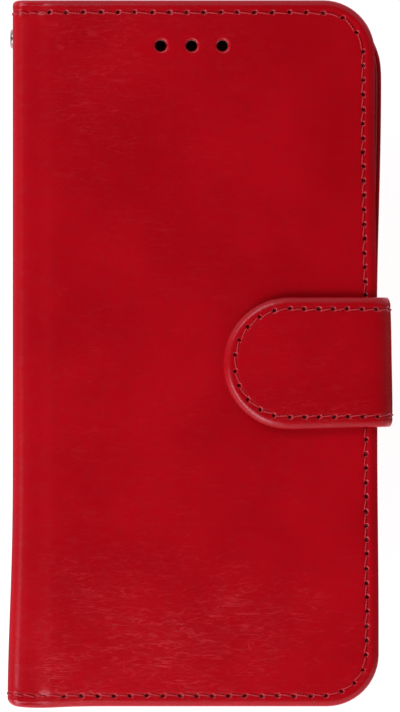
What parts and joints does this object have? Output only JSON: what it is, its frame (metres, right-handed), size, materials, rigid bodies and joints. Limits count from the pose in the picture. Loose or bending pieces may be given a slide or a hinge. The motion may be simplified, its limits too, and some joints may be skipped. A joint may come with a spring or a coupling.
{
  "type": "phone wallet case",
  "caption": "Folio phone wallet: stitched leather covers hinged on a spine, moulded phone tray, card pockets and a magnetic strap.",
  "frame": {"origin": "centre of the shut case's box, at the bottom, on the surface it lies on", "axes": "+X from the spine to the free edge and strap, +Y towards the top of the phone, +Z from the back panel to the front panel"},
  "size_m": [0.0852, 0.1564, 0.0188],
  "materials": {
    "cover_leather": "semi-gloss red coated leather",
    "lining": "satin red lining",
    "pocket_leather": "satin red coated leather",
    "thread": "twisted polyester",
    "board": "matt grey board",
    "tray": "satin black moulded",
    "adhesive": "matt film",
    "nickel": "polished nickel",
    "steel": "plated",
    "magnet": "nickel plated"
  },
  "bodies": {
    "back": {"back_cover_skin": "cover_leather", "back_board": "board", "back_lining": "lining", "back_stitching": "thread", "shell_pad": "adhesive", "phone_shell": "tray", "strap_root": "cover_leather"},
    "spine": {"spine_skin": "cover_leather", "spine_stiffener": "board", "spine_lining": "lining", "spine_stitching": "thread", "eyelet": "nickel", "eyelet_washer": "nickel"},
    "front": {"front_cover_skin": "cover_leather", "front_board": "board", "front_lining": "lining", "front_stitching": "thread", "catch_plate": "steel", "cash_pocket": "pocket_leather", "card_pocket_1": "pocket_leather", "card_pocket_2": "pocket_leather", "card_pocket_3": "pocket_leather", "pocket_stitching": "thread"},
    "strap_side": {"strap_side_skin": "cover_leather", "strap_side_lining": "lining", "strap_side_stitching": "thread"},
    "strap_tongue": {"strap_tongue_skin": "cover_leather", "strap_tongue_lining": "lining", "strap_tongue_stitching": "thread", "strap_stiffener": "board", "strap_magnets": "magnet"}
  },
  "joints": [
    {"name": "spine_fold", "type": "hinge", "parent": "back", "child": "spine", "pos_m": [-0.04185, 0, 0], "axis": [0, -1, 0], "range_deg": [0, 175]},
    {"name": "front_fold", "type": "hinge", "parent": "spine", "child": "front", "pos_m": [-0.04185, 0, 0.0158], "axis": [0, -1, 0], "range_deg": [0, 175]},
    {"name": "strap_root_bend", "type": "hinge", "parent": "back", "child": "strap_side", "pos_m": [0.04235, 0, 0.0003], "axis": [0, 1, 0], "range_deg": [0, 120]},
    {"name": "strap_fold", "type": "hinge", "parent": "strap_side", "child": "strap_tongue", "pos_m": [0.04235, 0, 0.01855], "axis": [0, 1, 0], "range_deg": [0, 90], "deforming": ["strap_tongue_skin", "strap_tongue_lining", "strap_tongue_stitching", "strap_stiffener", "strap_magnets"]}
  ]
}
